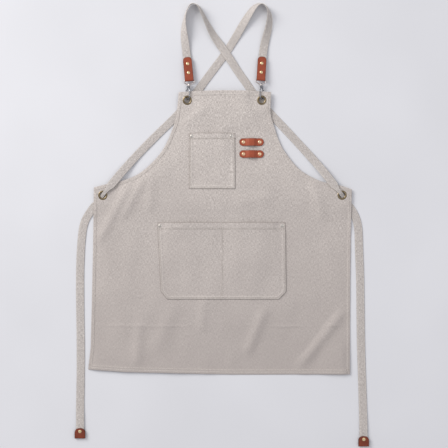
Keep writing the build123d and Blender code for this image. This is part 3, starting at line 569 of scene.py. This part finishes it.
def strap(name, points, rolls, seed):
    """A folded canvas band, stitched near both edges, gathered where it goes through the waist eyelet."""
    across, normal = band_frames(points, rolls)
    steps = np.linalg.norm(np.diff(points, axis=0), axis=1)
    travelled = np.concatenate([[0], np.cumsum(steps)])
    free = np.ones(len(points))
    for ex, ey, *_ in WAIST_EYELETS:
        r = np.hypot(points[:, 0] - ex * MM, points[:, 1] - ey * MM)
        free = np.minimum(free, smooth((r - SQUEEZE_START) / SQUEEZE_REACH))
    width = SQUEEZED_WIDTH + (STRAP_WIDTH - SQUEEZED_WIDTH) * free
    width *= 1 + 0.012 * waves(travelled, travelled * 0, 0.06, seed)
    thick = SQUEEZED_THICKNESS + (STRAP_THICKNESS - SQUEEZED_THICKNESS) * free
    half_shares = np.array([0.2, 0.45, 0.72, STRAP_SEAM, 0.87, 0.94, 0.985, 1])
    shares = np.concatenate([-half_shares[::-1], [0], half_shares])
    ring = len(shares)
    sink = 0.4 * np.exp(-(((np.abs(shares) - STRAP_SEAM) / 0.05) ** 2))
    profile = np.sqrt(np.clip(1 - np.abs(shares) ** 9, 0.03, 1)) - sink
    vertices = []
    weave = []
    lengthwise = waves(travelled, travelled * 0 + seed, 0.05, seed + 2.5)
    for i, point in enumerate(points):
        gathers = 0.35 * MM * (1 - free[i]) * np.cos(shares * 3 * pi)
        ripple = 0.10 * MM * lengthwise[i] * np.cos(shares * pi + seed) * free[i]
        lean = gathers + ripple
        for sign, order in ((1, range(ring)), (-1, range(ring - 1, -1, -1))):
            for k in order:
                off = across[i] * shares[k] * width[i] / 2
                rise = normal[i] * (sign * profile[k] * thick[i] / 2 + lean[k])
                vertices.append(point + off + rise)
                weave.append((shares[k] * STRAP_WIDTH / 2 + seed, travelled[i], 0))
    faces = []
    loop = 2 * ring
    for i in range(len(points) - 1):
        for k in range(loop):
            a = i * loop + k
            b = i * loop + (k + 1) % loop
            faces.append((a, a + loop, b + loop, b))
    faces.append(tuple(range(loop)))
    faces.append(tuple(reversed(range((len(points) - 1) * loop, len(points) * loop))))
    obj = mesh_object(name + "_band", vertices, faces, STRAP_CANVAS)
    set_weave(obj, weave)
    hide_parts(name)
    for side, label in ((-1, "a"), (1, "b")):
        for face, half in (("front", 1), ("back", -1)):
            lift = normal * half * (thick[:, None] / 2 - 0.06 * MM)
            line = points + across * side * STRAP_SEAM * width[:, None] / 2 + lift
            seam = stitches(f"{name}_seam_{face}_{label}", line, normal * half)
    return obj


# ---------------------------------------------------------------- leather and metal
def softened(node, material):
    """A leather piece in the CAD node's shape, with its edges rounded off and burnished."""
    mesh = NODES[node].data.copy()
    mesh.name = node + "_leather"
    work = bmesh.new()
    work.from_mesh(mesh)
    bmesh.ops.remove_doubles(work, verts=work.verts, dist=1e-6)
    bmesh.ops.dissolve_limit(work, angle_limit=radians(0.6), verts=work.verts, edges=work.edges)
    sharp = [e for e in work.edges if len(e.link_faces) == 2 and e.calc_face_angle(0) > radians(40)]
    bmesh.ops.bevel(
        work, geom=sharp, offset=LEATHER_BEVEL, segments=3, profile=0.6, affect="EDGES", clamp_overlap=True
    )
    bmesh.ops.triangulate(work, faces=work.faces)
    for face in work.faces:
        face.smooth = True
        face.material_index = 0 if abs(face.normal.z) > 0.93 else 1
    work.to_mesh(mesh)
    work.free()
    mesh.materials.clear()
    mesh.materials.append(material)
    mesh.materials.append(BURNISHED)
    mesh.set_sharp_from_angle(angle=radians(50))
    obj = bpy.data.objects.new(node + "_leather", mesh)
    bpy.context.scene.collection.objects.link(obj)
    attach(obj, "apron")
    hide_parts(node)
    return obj


def finish_nodes(material, *names):
    """Gives kept CAD nodes their finish."""
    for name in names:
        mesh = NODES[name].data
        mesh.materials.clear()
        mesh.materials.append(material)


finish_nodes(BRASS, *[n for n in NODES if "eyelet" in n or "washer" in n])
finish_nodes(RIVET_BRASS, *[n for n in NODES if n.startswith(("tab_rivet", "tip_rivet"))])
finish_nodes(COPPER, *[n for n in NODES if n.startswith("loop_rivet")])
finish_nodes(NICKEL, *[n for n in NODES if n.startswith("pocket_rivet")])
finish_nodes(GUNMETAL, *[n for n in NODES if n.endswith(("_hook", "_bolt"))])
finish_nodes(EYE_STEEL, *[n for n in NODES if n.endswith("_snap_eye")])
finish_nodes(SPRING, *[n for n in NODES if n.endswith("_spring")])

for node in ("left_tab", "right_tab"):
    softened(node, TAB_TAN)
for node in ("upper_tool_loop", "lower_tool_loop"):
    softened(node, TAN)
left_tip = softened("left_tie_tip", TIP_TAN)
right_tip = softened("right_tie_tip", TIP_TAN)

left_points, left_rolls = centreline("left_route", LEFT_STRAP)
right_points, right_rolls = centreline("right_route", RIGHT_STRAP)
strap("left_strap", left_points, left_rolls, 0.7)
strap("right_strap", right_points, right_rolls, 4.3)
for route in (left_points, right_points):
    low = route[(route[:, 2] < 2.2 * MM) & (route[:, 1] > 0.0)]
    breaks = np.nonzero(np.linalg.norm(np.diff(low, axis=0), axis=1) > 0.02)[0] + 1
    STRAP_LINES.extend(np.split(low, breaks))


# ---------------------------------------------------------------- the panel
def build_panel():
    """The body panel: hemmed all round, with a hole at each eyelet."""
    hem = -389.0 * MM
    top = 346.5 * MM
    rows = stations(hem, top, 2.6 * MM, 1.1 * MM, 15 * MM)
    corner = np.arange(90 * MM, 118 * MM, 0.9 * MM)
    rows = np.concatenate([rows[rows < corner[0] - MM], corner, rows[rows > corner[-1] + MM]])
    count = 190
    reach = 14 * MM
    sheet_x = np.zeros((len(rows), count))
    sheet_y = np.zeros_like(sheet_x)
    for i, y in enumerate(rows):
        low = 1 - smooth((y - hem) / (60 * MM))
        high = 1 - smooth((top - y) / (40 * MM))
        left_y = y + low * (along_x(HEM_CURVE, LEFT_CURVE[0, 0]) - hem) + high * (LEFT_CURVE[-1, 1] - top)
        right_y = y + low * (along_x(HEM_CURVE, RIGHT_CURVE[0, 0]) - hem) + high * (RIGHT_CURVE[-1, 1] - top)
        left = along_y(LEFT_CURVE, left_y)
        right = along_y(RIGHT_CURVE, right_y)
        near = np.array([0.0, 0.5, 1.1, 2.0, 3.2, 4.6, 6.2, 7.6, 8.4, 9.2, 11.0]) * MM
        middle = np.linspace(left + reach, right - reach, count - 2 * len(near))
        xs = np.concatenate([left + near, middle, right - near[::-1]])
        sheet_x[i] = xs
        sheet_y[i] = y + low * (along_x(HEM_CURVE, xs) - hem) + high * (along_x(TOP_CURVE, xs) - top)
    sides = np.minimum(distance_to(sheet_x, sheet_y, LEFT_CURVE), distance_to(sheet_x, sheet_y, RIGHT_CURVE))
    upper = distance_to(sheet_x, sheet_y, TOP_CURVE)
    foot = distance_to(sheet_x, sheet_y, HEM_CURVE)
    z = panel_height(sheet_x, sheet_y)
    share, _ = held_share(sheet_x, sheet_y)
    hems = ((sides, SIDE_HEM - MM), (foot, FOOT_HEM - MM), (upper, TOP_HEM))
    hemmed = np.max([1 - smooth((away - width) / HEM_STEP) for away, width in hems], axis=0)
    edge = np.minimum(np.minimum(sides, upper), foot)
    rim = bevelled_rim(edge, HEM_STEP)
    pucker = 0.10 * MM * hemmed * waves(sheet_x, sheet_y, 0.0065, 2.2)
    upside = (CLOTH / 2 + HEM_PROUD * hemmed * (1 - share)) * rim + pucker * (1 - share)
    downside = CLOTH / 2 * rim
    seam = np.exp(-(((sides - SIDE_SEAM) / SEAM_HALF) ** 2))
    seam = seam + np.exp(-(((foot - FOOT_SEAM) / SEAM_HALF) ** 2))
    upside -= 0.3 * MM * np.clip(seam, 0, 1) * (1 - share)
    # Painted shade in the grooves of the side and foot hem seams, carried in the weave's Z.
    painted_shade = 0.4 * PAINTED_SHADE_FULL * np.clip(seam, 0, 1)
    weave = np.stack([sheet_x, sheet_y, painted_shade], axis=-1).reshape(-1, 3)
    holes = [(e[0] * MM, e[1] * MM, EYELET_CUT) for e in EYELETS]
    return cloth_grid("panel_cloth", sheet_x, sheet_y, z, (upside, downside), CANVAS, weave, holes)


def run_inside(curve, inset, trim):
    """The line a given distance inside an edge, shortened at both ends."""
    steps = np.linalg.norm(np.diff(curve, axis=0), axis=1)
    travelled = np.concatenate([[0], np.cumsum(steps)])
    marks = np.linspace(trim, travelled[-1] - trim, int(travelled[-1] / (4 * MM)))
    line = np.stack([np.interp(marks, travelled, curve[:, k]) for k in (0, 1)], axis=-1)
    heading = np.gradient(line, axis=0)
    heading /= np.linalg.norm(heading, axis=1)[:, None]
    return line + np.stack([-heading[:, 1], heading[:, 0]], axis=-1) * inset


def sew(name, line, height, above):
    """A row of stitches on a surface given by its height."""
    z = height(line[:, 0], line[:, 1]) + above
    points = np.column_stack([line, z])
    seam = stitches(name, points, np.tile([0, 0, 1.0], (len(points), 1)))
    return seam


panel = build_panel()
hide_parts("front_panel")
HEM_TOP = CLOTH / 2 + HEM_PROUD - 0.12 * MM
left_skirt = LEFT_CURVE[: CORNER + 1]
right_skirt = RIGHT_CURVE[: CORNER + 1]
left_arm = LEFT_CURVE[CORNER:]
right_arm = RIGHT_CURVE[CORNER:]
SEAM_LINES = (
    ("foot_a", HEM_CURVE, FOOT_SEAM),
    ("foot_b", HEM_CURVE, 6.5 * MM),
    ("left_side", left_skirt, -SIDE_SEAM),
    ("right_side", right_skirt, SIDE_SEAM),
    ("left_arm", left_arm, -SIDE_SEAM),
    ("right_arm", right_arm, SIDE_SEAM),
    ("top", TOP_CURVE, -TOP_SEAM),
)
for label, curve, inset in SEAM_LINES:
    line = run_inside(curve, inset, 8.0 * MM)
    sew("panel_seam_" + label, line, panel_height, HEM_TOP)


# ---------------------------------------------------------------- the pockets
def pocket(name, left, right, foot, mouth, crown, bays, hem_y):
    """A patch pocket: sewn down at its sides, foot and divider, standing a little open at its mouth."""
    rows = stations(foot, mouth, 2.2 * MM, 0.9 * MM, 7 * MM)
    left = np.array(left) * MM
    right = np.array(right) * MM
    edges = np.array([0.0, 0.5, 1.2, 2.2, 3.4, 4.6, 6.0]) * MM
    columns = int((along_y(right, foot) - along_y(left, foot)) / (2.2 * MM))
    grid_x = []
    for y in rows:
        a = along_y(left, y)
        b = along_y(right, y)
        middle = np.linspace(a + 8 * MM, b - 8 * MM, columns)
        grid_x.append(np.concatenate([a + edges, middle, b - edges[::-1]]))
    x = np.array(grid_x)
    y = np.repeat(rows[:, None], x.shape[1], axis=1)
    outline = np.vstack([left[::-1], right])
    edge = distance_to(x, y, outline)

    def rise(px, py):
        up = np.zeros(np.shape(px))
        climb = np.clip((py - foot) / (mouth - foot), 0, 1) ** 1.4
        for start, end in bays:
            u = np.clip((px - start) / (end - start), 0, 1)
            inside = (px > start) & (px < end)
            up = np.where(inside, crown * climb * np.sin(pi * u) ** 1.2, up)
        fullness = smooth((py - foot - 4 * MM) / (25 * MM)) * smooth((np.abs(up) - 0.2 * MM) / MM)
        uneven = 0.35 * MM * fullness * waves(px, py, 0.05, 5.5)
        return up + uneven

    def height(px, py):
        return panel_height(px, py) + CLOTH + rise(px, py)

    z = height(x, y)
    share, _ = held_share(x, y)
    hemmed = smooth((y - hem_y * MM) / POCKET_STEP)
    hemmed = np.maximum(hemmed, 1 - smooth((edge - POCKET_HEM) / POCKET_STEP))
    tip = np.minimum(edge, mouth - y)
    rim = bevelled_rim(tip, POCKET_STEP)
    seam = np.exp(-(((edge - 3.0 * MM) / SEAM_HALF) ** 2))
    for start, _ in bays[1:]:
        seam = seam + np.exp(-(((x - start) / (0.9 * MM)) ** 2))
    proud = POCKET_CREST * hemmed - 0.35 * MM * np.clip(seam, 0, 1)
    half = CLOTH / 2 + proud * (1 - share)
    upside = half * rim
    downside = CLOTH / 2 * np.maximum(rim, 0.6)
    # Painted shade, carried in the weave's Z: a dark line all round the pocket's edges, in its seam grooves
    # and along the mouth seam.
    outline_painted_shade = np.exp(-((tip / (1.0 * MM)) ** 2))
    mouth_seam = 0.6 * np.exp(-(((y - hem_y * MM) / (0.9 * MM)) ** 2))
    painted_shade = PAINTED_SHADE_FULL * np.clip(outline_painted_shade + 0.6 * seam + mouth_seam, 0, 1)
    weave = np.stack([x + 0.31, y + 0.06, painted_shade], axis=-1).reshape(-1, 3)
    obj = cloth_grid(name + "_cloth", x, y, z, (upside, downside), CANVAS, weave)
    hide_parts(name)
    above = CLOTH / 2 + 0.42 * MM
    seams = []
    for inset in POCKET_SEAMS:
        line = run_inside(outline, inset * MM, 4 * MM)
        seams.append(sew(f"{name}_seam_{int(inset)}", line, height, above))
    for k, (start, _) in enumerate(bays[1:]):
        line = np.column_stack([np.full(60, start), np.linspace(foot + 6 * MM, mouth - 4 * MM, 60)])
        seams.append(sew(f"{name}_divider_{k}", line, height, above))
    sides = np.linspace(along_y(left, hem_y * MM) + 3 * MM, along_y(right, hem_y * MM) - 3 * MM, 60)
    line = np.column_stack([sides, np.full(60, hem_y * MM)])
    seams.append(sew(name + "_mouth_seam", line, height, above + 0.12 * MM))
    return obj, seams


chest, chest_seams = pocket(
    "chest_pocket", CHEST_LEFT, CHEST_RIGHT, 93.2 * MM, 237.5 * MM, 2.6 * MM,
    [(-82 * MM, 32 * MM)], 223.7,
)
pouch, pouch_seams = pocket(
    "large_pocket", POUCH_LEFT, POUCH_RIGHT, -193.5 * MM, 6.1 * MM, 3.4 * MM,
    [(-164 * MM, DIVIDER_X), (DIVIDER_X, 163 * MM)], -10.5,
)


# ---------------------------------------------------------------- floor, light and camera
def area_light(name, place, target, size, power, colour):
    data = bpy.data.lights.new(name, "AREA")
    data.shape = "DISK"
    data.size = size
    data.energy = power
    data.color = colour
    light = bpy.data.objects.new(name, data)
    light.location = place
    light.rotation_euler = (Vector(target) - Vector(place)).to_track_quat("-Z", "Y").to_euler()
    bpy.context.scene.collection.objects.link(light)


floor_mesh = bpy.data.meshes.new("studio_floor")
REACH = 6.0
corners = [(-REACH, -REACH, 0), (REACH, -REACH, 0), (REACH, REACH, 0), (-REACH, REACH, 0)]
floor_mesh.from_pydata(corners, [], [(0, 1, 2, 3)])
floor = bpy.data.objects.new("studio_floor", floor_mesh)
bpy.context.scene.collection.objects.link(floor)
paper = Shader("studio_paper", Roughness=0.85)
paper_place = paper.coordinates()
paper_tone = paper.noise(paper_place, 2.5, 2.0, 0.5)
paper_share = paper.ramp(paper_tone, 0.3, 0.7, 0.0, 1.0)
paper.link(paper.mix(paper_share, srgb(218, 218, 221), srgb(224, 224, 227)), "Base Color")
paper.out.inputs["Specular IOR Level"].default_value = 0.1
floor_mesh.materials.append(paper.material)

world = bpy.data.worlds.new("studio")
world.use_nodes = True
world.node_tree.nodes["Background"].inputs["Color"].default_value = (0.955, 0.955, 1.0, 1.0)
world.node_tree.nodes["Background"].inputs["Strength"].default_value = 0.6
bpy.context.scene.world = world
area_light("key_light", (-3.1, 2.3, 2.3), (0.1, -0.1, 0.0), 2.4, 150, (1.0, 0.99, 0.975))
area_light("fill_light", (1.4, 0.4, 2.6), (0.0, 0.0, 0.0), 1.8, 9, (0.97, 0.98, 1.0))

camera_data = bpy.data.cameras.new("camera")
camera_data.lens = 74
camera_data.sensor_width = 36
camera = bpy.data.objects.new("camera", camera_data)
camera.location = (0.0056, 0.0020, 2.394)
camera.rotation_euler = (0, 0, 0)
bpy.context.scene.collection.objects.link(camera)
bpy.context.scene.camera = camera
bpy.context.scene.view_settings.view_transform = "Standard"
